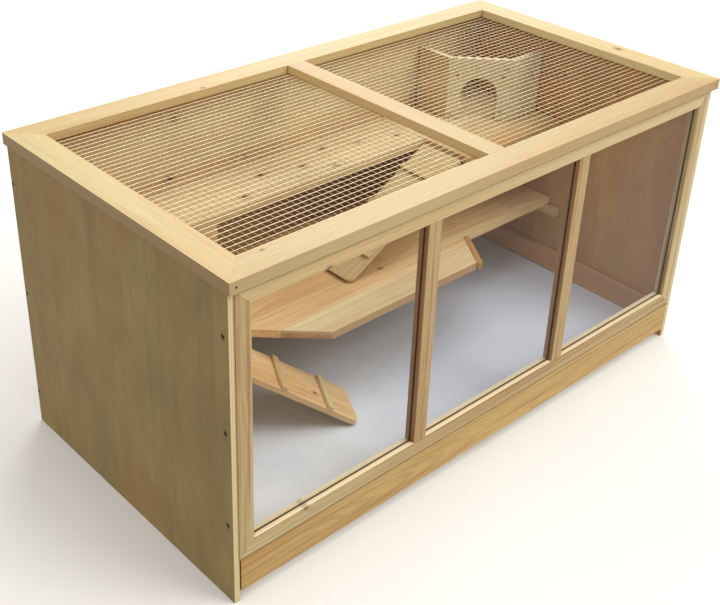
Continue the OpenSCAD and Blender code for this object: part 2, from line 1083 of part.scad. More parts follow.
// The cross strips, counted from the foot
module ramp_strips(length, count) {
    for (i = [0 : count - 1])
        translate([-ramp_w / 2, length - strip_first - i * strip_pitch - strip_w / 2, barrel_r + ramp_t])
            cube([ramp_w, strip_w, strip_h]);
}

module upper_ramp_board() {
    color(wood_orange)
        on_upper_ramp()
            ramp_board(upper_ramp_l);
}

module upper_ramp_strips() {
    color(wood)
        on_upper_ramp()
            ramp_strips(upper_ramp_l, 3);
}

module lower_ramp_board() {
    color(wood_orange)
        on_lower_ramp()
            ramp_board(lower_ramp_l);
}

module lower_ramp_strips() {
    color(wood)
        on_lower_ramp()
            ramp_strips(lower_ramp_l, 2);
}

side_panel_left();
side_panel_right();
back_panel();
floor_board();
floor_bearers();
front_plinth();
skirting_left();
skirting_right();
skirting_back();
frame_bottom_rail();
frame_top_rail();
frame_left_stile();
frame_right_stile();
frame_left_mullion();
frame_right_mullion();
window_left();
window_middle();
window_right();
mid_shelf_landing_board();
mid_shelf_front_board();
mid_shelf_middle_board();
mid_shelf_back_board();
mid_shelf_batten();
mid_shelf_side_cleats();
mid_shelf_back_cleat();
upper_floor_back_board();
upper_floor_front_board();
upper_floor_right_board();
upper_floor_side_cleats();
upper_floor_back_cleat();
nest_front_wall();
nest_side_wall();
house_side_wall();
house_door_wall();
house_front_wall();
panel_screws();
lid_front_rail();
lid_back_rail();
lid_left_rail();
lid_right_rail();
lid_crossbar();
lid_mesh_left();
lid_mesh_right();
mesh_staples();
lid_corner_nails();
lid_hinge_cage_leaves();
lid_hinge_lid_leaves();
hinge_pins();
cage_hinge_screws();
lid_hinge_screws();
upper_ramp_board();
upper_ramp_strips();
upper_ramp_hinge_leaf();
lower_ramp_board();
lower_ramp_strips();
lower_ramp_hinge_leaf();
upper_floor_hinge_leaf();
mid_shelf_hinge_leaf();
ramp_hinge_screws_upper();
ramp_hinge_screws_lower();
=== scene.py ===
"""Looks of the wooden hamster cage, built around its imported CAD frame."""
import json
import math
import random

import bpy
from mathutils import Matrix, Vector


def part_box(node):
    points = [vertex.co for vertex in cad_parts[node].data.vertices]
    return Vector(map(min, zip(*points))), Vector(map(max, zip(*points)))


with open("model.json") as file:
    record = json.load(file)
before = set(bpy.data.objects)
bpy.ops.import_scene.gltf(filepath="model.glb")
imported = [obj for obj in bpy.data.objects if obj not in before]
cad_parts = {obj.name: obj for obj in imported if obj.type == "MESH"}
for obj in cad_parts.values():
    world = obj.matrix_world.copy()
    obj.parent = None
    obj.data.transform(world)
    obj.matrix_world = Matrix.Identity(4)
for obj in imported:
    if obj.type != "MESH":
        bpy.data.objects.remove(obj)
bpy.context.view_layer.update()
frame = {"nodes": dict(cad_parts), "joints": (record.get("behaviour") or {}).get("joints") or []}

NODES = frame["nodes"]
X, Y, Z = Vector((1, 0, 0)), Vector((0, 1, 0)), Vector((0, 0, 1))
MM = 0.001
# How far the painted shade in the joints and corners reaches, and its tint
JOINT_SHADE_REACH = 7 * MM
JOINT_SHADE_TINT = (0.42, 0.27, 0.17, 1)


# ---- Camera ---------------------------------------------------------------------------------

CAMERA_PLACE = (-1.3112, -1.2930, 1.3406)
CAMERA_YAW = 0.7548  # from +Y towards +X
CAMERA_PITCH = 0.5139  # down
CAMERA_ROLL = 0.034
CAMERA_LENS = 56.82
CAMERA_SHIFT = (0.0219, -0.0849)


def make_camera():
    forward = Vector((
        math.sin(CAMERA_YAW) * math.cos(CAMERA_PITCH),
        math.cos(CAMERA_YAW) * math.cos(CAMERA_PITCH),
        -math.sin(CAMERA_PITCH),
    ))
    level_right = Vector((math.cos(CAMERA_YAW), -math.sin(CAMERA_YAW), 0))
    level_up = level_right.cross(forward)
    right = level_right * math.cos(CAMERA_ROLL) + level_up * math.sin(CAMERA_ROLL)
    up = level_up * math.cos(CAMERA_ROLL) - level_right * math.sin(CAMERA_ROLL)
    data = bpy.data.cameras.new("camera")
    data.lens = CAMERA_LENS
    data.shift_x, data.shift_y = CAMERA_SHIFT
    data.clip_start, data.clip_end = 0.01, 100
    camera = bpy.data.objects.new("camera", data)
    turn = Matrix((right, up, -forward)).transposed().to_4x4()
    camera.matrix_world = Matrix.Translation(CAMERA_PLACE) @ turn
    bpy.context.scene.collection.objects.link(camera)
    bpy.context.scene.camera = camera


# ---- Material nodes -------------------------------------------------------------------------


def rgb(red, green, blue):
    """A colour given as it looks on a screen, 0 to 255, for a shader."""
    def linear(value):
        value /= 255
        return value / 12.92 if value <= 0.04045 else ((value + 0.055) / 1.055) ** 2.4
    return (linear(red), linear(green), linear(blue), 1)


class Graph:
    """A material's node tree. Most methods add one node and give back its output."""

    def __init__(self, name):
        self.material = bpy.data.materials.new(name)
        self.material.use_nodes = True
        self.nodes = self.material.node_tree.nodes
        self.links = self.material.node_tree.links
        self.nodes.clear()

    def node(self, kind, inputs=(), **settings):
        node = self.nodes.new(kind)
        for key, value in settings.items():
            setattr(node, key, value)
        for key, value in dict(inputs).items():
            self.feed(node.inputs[key], value)
        return node

    def feed(self, socket, value):
        if isinstance(value, bpy.types.NodeSocket):
            self.links.new(value, socket)
        else:
            socket.default_value = value

    def math(self, operation, *values, clamp=False):
        node = self.node("ShaderNodeMath", enumerate(values), operation=operation, use_clamp=clamp)
        return node.outputs[0]

    def add(self, *values):
        total = values[0]
        for value in values[1:]:
            total = self.math("ADD", total, value)
        return total

    def times(self, *values):
        total = values[0]
        for value in values[1:]:
            total = self.math("MULTIPLY", total, value)
        return total

    def scaled(self, value, factor, shift):
        return self.math("MULTIPLY_ADD", value, factor, shift)

    def step(self, value, low, high, start=0, end=1):
        """start below low, end above high, and a smooth change between them."""
        inputs = {"Value": value, "From Min": low, "From Max": high, "To Min": start, "To Max": end}
        node = self.node("ShaderNodeMapRange", inputs, interpolation_type="SMOOTHSTEP")
        return node.outputs["Result"]

    def vector(self, x, y, z):
        return self.node("ShaderNodeCombineXYZ", {"X": x, "Y": y, "Z": z}).outputs[0]

    def parts(self, vector):
        return self.node("ShaderNodeSeparateXYZ", {"Vector": vector}).outputs[:]

    def stretched(self, vector, scale, shift=(0, 0, 0)):
        inputs = {"Vector": vector, "Scale": scale, "Location": shift}
        return self.node("ShaderNodeMapping", inputs).outputs[0]

    def noise_node(self, vector, scale, detail, roughness, distortion):
        return self.node("ShaderNodeTexNoise", {
            "Vector": vector, "Scale": scale, "Detail": detail, "Roughness": roughness,
            "Distortion": distortion,
        })

    def noise(self, vector, scale=1.0, detail=2.0, roughness=0.5, distortion=0.0):
        return self.noise_node(vector, scale, detail, roughness, distortion).outputs["Fac"]

    def noises(self, vector, scale=1.0, detail=2.0):
        """Three separate noises at once."""
        return self.parts(self.noise_node(vector, scale, detail, 0.5, 0).outputs["Color"])

    def mix(self, factor, first, second, blend="MIX"):
        node = self.node("ShaderNodeMix", data_type="RGBA", blend_type=blend, clamp_factor=True)
        sockets = [socket for socket in node.inputs if socket.enabled]
        for socket, value in zip(sockets, (factor, first, second)):
            self.feed(socket, value)
        return next(socket for socket in node.outputs if socket.enabled)

    def shade(self, colour, light):
        return self.mix(1.0, colour, self.vector(light, light, light), "MULTIPLY")

    def bump(self, height, distance):
        return self.node("ShaderNodeBump", {"Height": height, "Distance": distance}).outputs[0]

    def surface(self, inputs):
        self.finish(self.node("ShaderNodeBsdfPrincipled", inputs).outputs[0])
        return self.material

    def finish(self, shader):
        self.links.new(shader, self.node("ShaderNodeOutputMaterial").inputs["Surface"])

    def facing(self, way):
        """How far a face points along a direction of the node's own, from -1 to 1."""
        normal = self.node("ShaderNodeVectorTransform", {
            "Vector": self.node("ShaderNodeNewGeometry").outputs["True Normal"],
        }, vector_type="NORMAL", convert_from="WORLD", convert_to="OBJECT").outputs[0]
        dot = self.node("ShaderNodeVectorMath", {0: normal, 1: way}, operation="DOT_PRODUCT")
        return dot.outputs["Value"]

    def painted_joint_shade(self, tone):
        """Darkens the joints and corners with a brown tint: painted shade."""
        node = self.node("ShaderNodeAmbientOcclusion", {"Distance": JOINT_SHADE_REACH}, samples=6)
        unshaded = self.step(node.outputs["AO"], 0.05, 0.85, 0, 1)
        brown = self.mix(1.0, tone, JOINT_SHADE_TINT, "MULTIPLY")
        return self.mix(unshaded, brown, tone)

    def on_board(self, board):
        """Metres from the board's middle: x along its grain, y across, z out of its face."""
        turn = Matrix((board.along, board.across, board.out))
        return self.node("ShaderNodeMapping", {
            "Vector": self.node("ShaderNodeTexCoord").outputs["Object"],
            "Rotation": turn.to_euler(),
            "Location": -(turn @ board.middle),
        }).outputs[0]


class Board:
    """How a piece of wood lies: along its grain, out of its face, and where its middle is."""

    def __init__(self, name, along, out):
        self.name = name
        self.along = along
        self.out = out
        self.across = out.cross(along)
        low, high = (Vector(corner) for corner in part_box(name))
        self.middle = (low + high) / 2

    def place_of(self, point):
        """A point of the frame, as its places along and across the board."""
        offset = Vector(point) - self.middle
        return offset.dot(self.along), offset.dot(self.across)


# ---- Wood -----------------------------------------------------------------------------------


def look_like(base, sap=None, heart=None, late=None, **strengths):
    """A wood look based on another. Each tone is given as red, green and blue on a screen."""
    tones = {"sap": sap, "heart": heart, "late": late}
    changed = {name: rgb(*tone) for name, tone in tones.items() if tone is not None}
    return {**base, **changed, **strengths}


# Sapwood, heartwood, the dark lines of the growth rings and the knots; how strongly the rings and
# the streaks show; how far apart the rings are; and the roughness
PINE = {
    "sap": rgb(214, 188, 136),
    "heart": rgb(200, 158, 100),
    "late": rgb(170, 124, 70),
    "knot": rgb(104, 64, 36),
    "rings": 0.34,
    "streaks": 0.40,
    "spacing": 4.0 * MM,
    "rough": 0.52,
}
LID = look_like(
    PINE, sap=(202, 184, 134), heart=(200, 173, 121), late=(178, 138, 86),
    rings=0.22, streaks=0.30,
)
LID_FRONT = look_like(LID, sap=(192, 171, 125), heart=(190, 161, 113), late=(170, 129, 81))
STILE = look_like(
    PINE, sap=(206, 190, 144), heart=(194, 166, 118), late=(158, 112, 68),
    rings=0.45, streaks=0.75,
)
MULLION = look_like(STILE, sap=(195, 168, 120), heart=(183, 147, 98), late=(149, 100, 58))
PALE = look_like(PINE, sap=(220, 202, 154), heart=(214, 186, 136), late=(190, 152, 100), rings=0.22)
ORANGE = look_like(
    PINE, sap=(212, 174, 116), heart=(198, 146, 86), late=(164, 106, 54),
    rings=0.55, streaks=0.5,
)
HOUSE = look_like(PALE, sap=(214, 204, 170), heart=(206, 190, 150), rings=0.16, streaks=0.22)
CREAM = look_like(PALE, sap=(226, 208, 164), heart=(220, 194, 148), late=(190, 152, 102))
SHELF = look_like(PALE, sap=(236, 221, 178), heart=(230, 205, 160), late=(198, 156, 100))
SHELF_MIDDLE = look_like(ORANGE, sap=(238, 206, 153), heart=(226, 184, 128), late=(194, 142, 88))
PLINTH = look_like(ORANGE, sap=(208, 174, 110), heart=(192, 150, 86), late=(156, 104, 48))
SHADED = look_like(
    ORANGE, sap=(214, 166, 110), heart=(200, 144, 90), late=(160, 104, 60),
    rings=0.35,
)

# Colour of the lines of painted shade along a board
SHADE_LINE_TINT = rgb(84, 50, 26)
# Painted light and painted shade for one side of a board: the way out of that side, the tint and its
# strength
# Painted highlight on the faces that look up
PAINTED_LIGHT_TOP = (Z, rgb(250, 236, 200), 0.75)
# Painted shade on the faces that look to the front
PAINTED_SHADE_FRONT = (-Y, rgb(178, 118, 66), 0.6)
# Painted shade on the faces that look to the left
PAINTED_SHADE_LEFT = (-X, rgb(150, 98, 60), 0.6)

PITH_DEPTH = (25 * MM, 90 * MM)
PITH_SIDE = 60 * MM
# Where the shade tint of the back panel's lower part turns from light to dark, along the panel
SHADE_FADE = (-0.22, 0.06)
FIBRE_BUMP = 0.12 * MM


def rings_of(g, place, look, shift, rng, bulge):
    """The dark latewood lines, from the distance to a wandering pith, bulging out round the knots."""
    _, y, z = g.parts(place)
    side, depth, _ = g.noises(g.stretched(place, (1.5, 3, 3), shift))
    off_y = g.add(y, g.scaled(side, -0.06, 0.03 - rng.uniform(-PITH_SIDE, PITH_SIDE)))
    off_z = g.add(z, g.scaled(depth, -0.08, 0.04 + rng.uniform(*PITH_DEPTH)))
    radius = g.math("SQRT", g.add(g.times(off_y, off_y), g.times(off_z, off_z)))
    if bulge is not None:
        radius = g.add(radius, bulge)
    uneven = g.noise(g.stretched(place, (2, 40, 40), shift))
    turns = g.add(g.times(radius, 1 / look["spacing"]), g.times(uneven, 1.5))
    ring = g.math("FRACT", turns)
    late = g.math("SUBTRACT", g.step(ring, 0.25, 0.93), g.step(ring, 0.93, 1.0))
    fade = g.scaled(g.noise(g.stretched(place, (3, 30, 30), shift)), 1.4, -0.2)
    return g.math("MULTIPLY", late, fade, clamp=True)


def knots_of(g, place, board, knots):
    """How much each point belongs to a knot, and how far the rings bulge round the knots."""
    x, y, _ = g.parts(place)
    mask = bulge = None
    for point, size in knots:
        along, across = board.place_of(point)
        knot_x = g.times(g.math("SUBTRACT", x, along), 1 / 1.6)
        knot_y = g.math("SUBTRACT", y, across)
        square = g.add(g.times(knot_x, knot_x), g.times(knot_y, knot_y))
        away = g.times(g.math("SQRT", square), 1 / size)
        swell = g.times(g.math("EXPONENT", g.times(square, -1 / (3.2 * size) ** 2)), 1.6 * size)
        ragged = g.add(away, g.scaled(g.noise(place, 420), 0.5, -0.25))
        this = g.math("MAXIMUM", g.step(ragged, 0.72, 1.05, 1, 0), g.step(away, 1.0, 2.8, 0.4, 0))
        mask = this if mask is None else g.math("MAXIMUM", mask, this)
        bulge = swell if bulge is None else g.add(bulge, swell)
    return mask, bulge


def wood(board, look, seed, knots=(), side=None, grime=None):
    """Solid wood. A knot is its place in the frame and its radius.

    side tints the faces on one side with painted light or painted shade: the way out of them,
    the tint and its strength. The dark-line argument draws painted shade as a line along the board:
    its place across the board and its half width.
    """
    rng = random.Random(seed)
    g = Graph(board.name)
    place = g.on_board(board)
    y = g.parts(place)[1]
    shift = [rng.uniform(-9, 9) for _ in range(3)]
    mask, bulge = knots_of(g, place, board, knots)
    late = rings_of(g, place, look, shift, rng, bulge)
    slow, wave, tint = g.noises(g.stretched(place, (1.2, 14, 14), shift))
    band = g.step(slow, 0.40, 0.62)
    fibre = g.noise(g.stretched(place, (22, 700, 700), shift), 1.0, 3, 0.65)
    streak = g.noise(g.stretched(place, (2.6, 150, 150), shift), 1.0, 4, 0.7)
    tone = g.mix(band, look["sap"], look["heart"])
    tone = g.mix(g.times(late, look["rings"]), tone, look["late"])
    tone = g.mix(g.step(streak, 0.48, 0.66, 0, look["streaks"]), tone, look["late"])
    tone = g.mix(g.step(streak, 0.30, 0.50, 0.5 * look["streaks"], 0), tone, look["sap"])
    tone = g.shade(tone, g.add(g.scaled(fibre, 0.40, 0.66), g.times(tint, 0.28)))
    if side is not None:
        way, colour, amount = side
        tone = g.mix(g.step(g.facing(way), 0.5, 0.8, 0, amount), tone, colour)
    if mask is not None:
        tone = g.mix(mask, tone, look["knot"])
    # A dark line along the board: painted shade
    if grime is not None:
        reach = g.math("ABSOLUTE", g.add(y, g.scaled(wave, 0.001, -0.0005 - grime[0])))
        tone = g.mix(g.step(reach, grime[1] * 0.5, grime[1] * 1.3, 0.75, 0), tone, SHADE_LINE_TINT)
    # Painted shade in the joints and corners
    tone = g.painted_joint_shade(tone)
    return g.surface({
        "Base Color": tone,
        "Roughness": g.scaled(fibre, 0.25, look["rough"] - 0.12),
        "Specular IOR Level": 0.5,
        "Normal": g.bump(g.add(g.times(fibre, 0.7), g.times(late, 0.5)), FIBRE_BUMP),
    })


def plywood(board, face, seed, thickness, reverse, stripes=(), knots=(), dark_below=None):
    """A veneered panel: rotary-cut grain on its faces and thin plies on its edges.

    The veneer on the reverse is the same, tinted. A stripe is a reddish band on the face: its place
    across the panel, its half width and its strength.
    dark_below is the place across the panel below which its face is tinted darker, to stand in
    for shade.
    """
    rng = random.Random(seed)
    g = Graph(board.name)
    place = g.on_board(board)
    x, y, z = g.parts(place)
    shift = [rng.uniform(-9, 9) for _ in range(3)]
    mask, _ = knots_of(g, place, board, knots)
    slow, wave, tint = g.noises(g.stretched(place, (1.1, 7, 7), shift), 1.0, 3)
    bands = g.noise(g.stretched(place, (1.3, 26, 26), shift), 1.0, 4, 0.6, 0.5)
    fine = g.noise(g.stretched(place, (4, 160, 160), shift), 1.0, 4, 0.65)
    fibre = g.noise(g.stretched(place, (30, 520, 520), shift), 1.0, 3, 0.7)
    ring = g.math("FRACT", g.add(g.times(slow, 9.0), g.times(y, 7.0)))
    late = g.math("SUBTRACT", g.step(ring, 0.1, 0.9), g.step(ring, 0.9, 1.0))
    tone = g.mix(g.step(bands, 0.35, 0.65), face["olive"], face["tan"])
    tone = g.mix(g.times(late, 0.16), tone, face["dark"])
    tone = g.mix(g.step(tint, 0.50, 0.66, 0, 0.5), tone, face["red"])
    tone = g.mix(g.step(fine, 0.50, 0.75, 0, 0.28), tone, face["dark"])
    facing = g.facing(board.out)
    on_face = g.step(facing, 0.4, 0.6)
    for across, half, strength in stripes:
        reach = g.math("ABSOLUTE", g.add(y, g.scaled(wave, 0.006, -0.003 - across)))
        faded = g.times(g.scaled(g.step(tint, 0.35, 0.6), 0.7, 0.3), strength, on_face)
        tone = g.mix(g.times(g.step(reach, half * 0.6, half * 1.5, 1, 0), faded), tone, face["stripe"])
    if dark_below is not None:
        edge = g.add(y, g.scaled(wave, 0.01, -0.005 - dark_below))
        redder = g.mix(g.step(x, *SHADE_FADE), rgb(172, 136, 82), rgb(104, 48, 24))
        below = g.times(g.step(edge, -0.004, 0.004, 1, 0), on_face)
        tone = g.mix(below, tone, g.mix(0.25, redder, tone))
    tone = g.mix(g.step(facing, -0.6, -0.4, 1, 0), tone, g.mix(1.0, tone, reverse, "MULTIPLY"))
    blotch = g.noise(g.stretched(place, (6, 10, 10), shift), 1.0, 5, 0.6, 0.6)
    tone = g.shade(tone, g.add(g.scaled(fibre, 0.30, 0.30), g.times(slow, 0.36), g.times(blotch, 0.64)))
    if mask is not None:
        tone = g.mix(mask, tone, PINE["knot"])
    # The edges show five plies, every other one with its grain end on
    ply = g.times(g.add(z, thickness / 2), 5 / thickness)
    crossed = g.step(g.math("PINGPONG", ply, 1.0), 0.42, 0.58)
    speckle = g.noise(g.stretched(place, (300, 300, 900), shift), 1.0, 2, 0.7)
    edge = g.mix(crossed, rgb(236, 220, 178), rgb(216, 192, 144))
    edge = g.mix(g.step(speckle, 0.5, 0.8, 0, 0.35), edge, rgb(140, 108, 70))
    tone = g.mix(g.step(g.math("ABSOLUTE", facing), 0.4, 0.6), edge, tone)
    # Painted shade in the joints and corners
    tone = g.painted_joint_shade(tone)
    return g.surface({
        "Base Color": tone,
        "Roughness": g.scaled(fibre, 0.25, 0.52),
        "Specular IOR Level": 0.4,
        "Normal": g.bump(g.add(fibre, g.times(late, 0.4)), 0.4 * FIBRE_BUMP),
    })


# The tones of the side panels' outer faces and of the back's inner face, and the tints that turn
# each of the two into its reverse. The side panels' inner faces turn browner: partly their own tone,
# partly painted shade
OUTER_FACE = {
    "olive": rgb(164, 143, 92), "tan": rgb(164, 138, 88), "dark": rgb(134, 105, 60),
    "red": rgb(172, 127, 76),
}
BROWNER_AND_SHADED = (1.42, 1.01, 0.75, 1)
DULLER = (0.60, 0.54, 0.44, 1)
BACK_FACE = {
    "olive": rgb(214, 196, 146), "tan": rgb(206, 180, 130), "dark": rgb(172, 140, 94),
    "red": rgb(212, 178, 130), "stripe": rgb(186, 112, 56),
}


# ---- Other materials ------------------------------------------------------------------------


def melamine(name):
    g = Graph(name)
    coords = g.node("ShaderNodeTexCoord").outputs["Object"]
    cloud = g.noise(coords, 6, 4, 0.6)
    grit = g.noise(coords, 900, 2, 0.6)
    # Tinted greyer to the right, to stand in for the shade inside the cage
    tone = g.mix(g.step(g.parts(coords)[0], -0.40, 0.15), rgb(240, 246, 255), rgb(214, 222, 242))
    tone = g.mix(g.step(cloud, 0.35, 0.7, 0, 0.3), tone, rgb(196, 204, 222))
    tone = g.mix(g.step(grit, 0.62, 0.75, 0, 0.25), tone, rgb(200, 202, 210))
    return g.surface({
        "Base Color": tone,
        "Roughness": g.scaled(cloud, 0.2, 0.38),
        "Specular IOR Level": 0.4,
        "Normal": g.bump(grit, 0.04 * MM),
    })


def clear_sheet(name):
    """Clear acrylic: mostly see-through, with gloss, a faint haze and a few smears."""
    g = Graph(name)
    coords = g.node("ShaderNodeTexCoord").outputs["Object"]
    smear = g.noise(g.stretched(coords, (3, 3, 9)), 1.0, 4, 0.6, 1.5)
    dust = g.noise(coords, 700, 2, 0.6)
    haze = g.add(g.step(smear, 0.45, 0.8, 0.002, 0.012), g.step(dust, 0.70, 0.78, 0, 0.003))
    clear = g.node("ShaderNodeBsdfTransparent", {"Color": (0.97, 0.98, 0.98, 1)}).outputs[0]
    gloss = g.node("ShaderNodeBsdfPrincipled", {
        "Base Color": rgb(232, 236, 240), "Roughness": g.step(smear, 0.3, 0.8, 0.05, 0.16), "IOR": 1.49,
    }).outputs[0]
    # Both faces of the sheet reflect alike, so the reflection comes from the angle alone
    facing = g.node("ShaderNodeLayerWeight", {"Blend": 0.5}).outputs["Facing"]
    amount = g.math("ADD", g.scaled(g.math("POWER", facing, 5.0), 0.8, 0.006), haze, clamp=True)
    g.finish(g.node("ShaderNodeMixShader", {0: amount, 1: clear, 2: gloss}).outputs[0])
    return g.material


def metal(name, base, dark, roughness, size, metallic=0.85):
    """Metal with patches of two tones, size metres across."""
    g = Graph(name)
    coords = g.node("ShaderNodeTexCoord").outputs["Object"]
    spangle = g.noise(coords, 1 / size, 3, 0.6, 0.5)
    return g.surface({
        "Base Color": g.mix(g.step(spangle, 0.35, 0.7), base, dark),
        "Metallic": metallic,
        "Roughness": g.scaled(spangle, 0.3, roughness - 0.15),
        "Normal": g.bump(spangle, 0.03 * MM),
    })


# ---- Dressing the CAD nodes -----------------------------------------------------------------


def dress(name, material):
    for slot in NODES[name].material_slots:
        slot.material = material


def soften(name, width):
    """Breaks the sharp edges of a planed board."""
    node = NODES[name]
    weld = node.modifiers.new("weld", "WELD")
    weld.merge_threshold = 0.01 * MM
    bevel = node.modifiers.new("bevel", "BEVEL")
    bevel.width = width
    bevel.segments = 2
    bevel.limit_method = "ANGLE"
    bevel.angle_limit = math.radians(40)


def dress_wood(name, look, along, out, seed, soft=0.8 * MM, **details):
    dress(name, wood(Board(name, along, out), look, seed, **details))
    soften(name, soft)


# Dark marks round the screws at the front of the side panels
SCREW_Y = -0.2775
SCREW_HEIGHTS = (0.150, 0.322, 0.485)
SCREW_STAIN = 2.6 * MM
# Knots of the right panel: their places along Y and Z, and their radius
RIGHT_KNOTS = ((0.040, 0.487), (-0.094, 0.491), (-0.024, 0.445))
RIGHT_KNOT = 3 * MM


def dress_panels():
    low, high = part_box("back_panel")
    thickness = high[1] - low[1]
    for name, out, seed in (("side_panel_left", -X, 3), ("side_panel_right", X, 7)):
        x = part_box(name)[0 if out.x < 0 else 1][0]
        stains = [((x, SCREW_Y, z), SCREW_STAIN) for z in SCREW_HEIGHTS]
        if out.x > 0:
            stains += [((x, y, z), RIGHT_KNOT) for y, z in RIGHT_KNOTS]
        panel = Board(name, Z, out)
        dress(name, plywood(panel, OUTER_FACE, seed, thickness, BROWNER_AND_SHADED, knots=stains))
    # The inner face of the back shows two reddish streaks along its length. The upper one, just under
    # the lid's back rail, is painted shadow
    middle = (low[2] + high[2]) / 2
    streaks = [(0.404 - middle, 6 * MM, 0.5), (0.551 - middle, 8 * MM, 0.95)]
    knots = [
        ((-0.255, 0.286, 0.522), 4 * MM),
        ((-0.096, 0.286, 0.402), 3 * MM),
        ((-0.272, 0.286, 0.409), 5 * MM),
    ]
    panel = Board("back_panel", X, -Y)
    dress("back_panel", plywood(
        panel, BACK_FACE, 12, thickness, DULLER, streaks, knots, dark_below=0.372 - middle,
    ))


def dress_base():
    dress("floor_board", melamine("floor_board"))
    dress_wood("floor_bearers", PINE, Y, Z, 15)
    dress_wood("front_plinth", PLINTH, X, -Y, 21, 1.2 * MM)
    dress_wood("skirting_left", SHADED, Y, X, 22)
    dress_wood("skirting_right", SHADED, Y, -X, 23)
    dress_wood("skirting_back", SHADED, X, -Y, 24)


def half_height(name):
    low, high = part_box(name)
    return (high[2] - low[2]) / 2


def dress_front():
    # Dark lines under the lid's overhang and just over the plinth, standing in for shade
    over_plinth = (0.8 * MM - half_height("frame_bottom_rail"), 0.8 * MM)
    under_lid = (half_height("frame_top_rail") - 5.2 * MM, 1.8 * MM)
    low_knot = ((-0.432, -0.292, 0.111), 2.4 * MM)
    high_knot = ((-0.395, -0.292, 0.531), 3 * MM)
    dress_wood(
        "frame_bottom_rail", STILE, X, -Y, 31, side=PAINTED_LIGHT_TOP, grime=over_plinth, knots=[low_knot],
    )
    dress_wood("frame_top_rail", PALE, X, -Y, 32, grime=under_lid, knots=[high_knot])
    dress_wood("frame_left_stile", STILE, Z, -Y, 33)
    dress_wood("frame_right_stile", STILE, Z, -Y, 34)
    dress_wood("frame_left_mullion", MULLION, Z, -Y, 35, side=PAINTED_SHADE_LEFT)
    dress_wood("frame_right_mullion", MULLION, Z, -Y, 36, side=PAINTED_SHADE_LEFT)
    for name in ("window_left", "window_middle", "window_right"):
        dress(name, clear_sheet(name))


def dress_mid_shelf():
    dress_wood("mid_shelf_landing_board", SHELF_MIDDLE, X, Z, 41, side=PAINTED_SHADE_FRONT)
    dress_wood("mid_shelf_front_board", SHELF, X, Z, 42, side=PAINTED_SHADE_FRONT)
    knot = ((0.055, 0.054, 0.200), 3 * MM)
    dress_wood("mid_shelf_middle_board", SHELF_MIDDLE, X, Z, 43, knots=[knot])
    dress_wood("mid_shelf_back_board", SHELF_MIDDLE, X, Z, 44, side=PAINTED_SHADE_FRONT)
    low, high = (Vector(corner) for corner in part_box("mid_shelf_batten"))
    slant = Vector((high.x - low.x, high.y - low.y, 0)).normalized()
    dress_wood("mid_shelf_batten", ORANGE, slant, Z, 45)
    dress_wood("mid_shelf_side_cleats", PINE, Y, Z, 46)
    dress_wood("mid_shelf_back_cleat", PINE, X, Z, 47)


def dress_upper_floor():
    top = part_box("upper_floor_back_board")[1][2]
    dress_wood("upper_floor_back_board", CREAM, X, Z, 51, knots=[
        ((-0.102, 0.231, top), 5 * MM), ((0.068, 0.249, top), 4.5 * MM), ((0.144, 0.222, top), 4 * MM),
    ])
    # The front board's front edge is darkened: painted shade
    dress_wood("upper_floor_front_board", CREAM, X, Z, 52, side=(-Y, rgb(196, 164, 112), 0.7), knots=[
        ((-0.180, 0.178, top), 5 * MM), ((-0.016, 0.208, top), 5 * MM), ((0.038, 0.173, top), 4 * MM),
        ((0.231, 0.202, top), 4 * MM),
    ])
    dress_wood("upper_floor_right_board", PINE, X, Z, 53)
    dress_wood("upper_floor_side_cleats", PINE, Y, Z, 54)
    dress_wood("upper_floor_back_cleat", PINE, X, Z, 55)


def dress_houses():
    dress_wood("nest_front_wall", PINE, X, -Y, 61)
    dress_wood("nest_side_wall", PINE, Y, X, 62)
    dress_wood("house_side_wall", PINE, Y, -X, 63, side=PAINTED_LIGHT_TOP)
    # The pin knots sit round the doorway of the slanted wall
    low, high = (Vector(corner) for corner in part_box("house_door_wall"))
    along, out = Vector((1, -1, 0)).normalized(), Vector((-1, -1, 0)).normalized()
    middle = (low + high) / 2
    pins = [(-0.048, 0.032), (0.055, 0.046), (0.047, 0.030), (0.050, -0.048), (-0.056, -0.058)]
    dress_wood("house_door_wall", HOUSE, along, out, 64, side=PAINTED_LIGHT_TOP, knots=[
        (middle + along * side + Z * up, 2.2 * MM) for side, up in pins
    ])
    dress_wood("house_front_wall", HOUSE, X, -Y, 65, side=PAINTED_LIGHT_TOP)


def down_the_ramp(joint_name, board):
    """Down a ramp's slope and out of its top face, from its joint and its box."""
    joint = next(joint for joint in frame["joints"] if joint["name"] == joint_name)
    axis, pivot = Vector(joint["axis"]), Vector(joint["pos_m"])
    low, high = (Vector(corner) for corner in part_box(board))
    away = (low + high) / 2 - pivot
    level = Vector((-axis.y, axis.x, 0)).normalized()
    if away.dot(level) < 0:
        level = -level
    slope = math.atan2(-away.z, away.dot(level))
    along = level * math.cos(slope) - Z * math.sin(slope)
    out = level * math.sin(slope) + Z * math.cos(slope)
    return along, out


def dress_ramps():
    knots = {"upper": [], "lower": [((-0.208, -0.0566, 0.0883), 3 * MM)]}
    for number, name in enumerate(("upper", "lower")):
        board, strips = name + "_ramp_board", name + "_ramp_strips"
        along, out = down_the_ramp(name + "_ramp_swing", board)
        look = (PALE, SHELF_MIDDLE)[number]
        dress_wood(board, look, along, out, 71 + number, 1.2 * MM, knots=knots[name])
        dress_wood(strips, PALE, out.cross(along), out, 75 + number, 1.2 * MM)


LID_TOP = 0.58


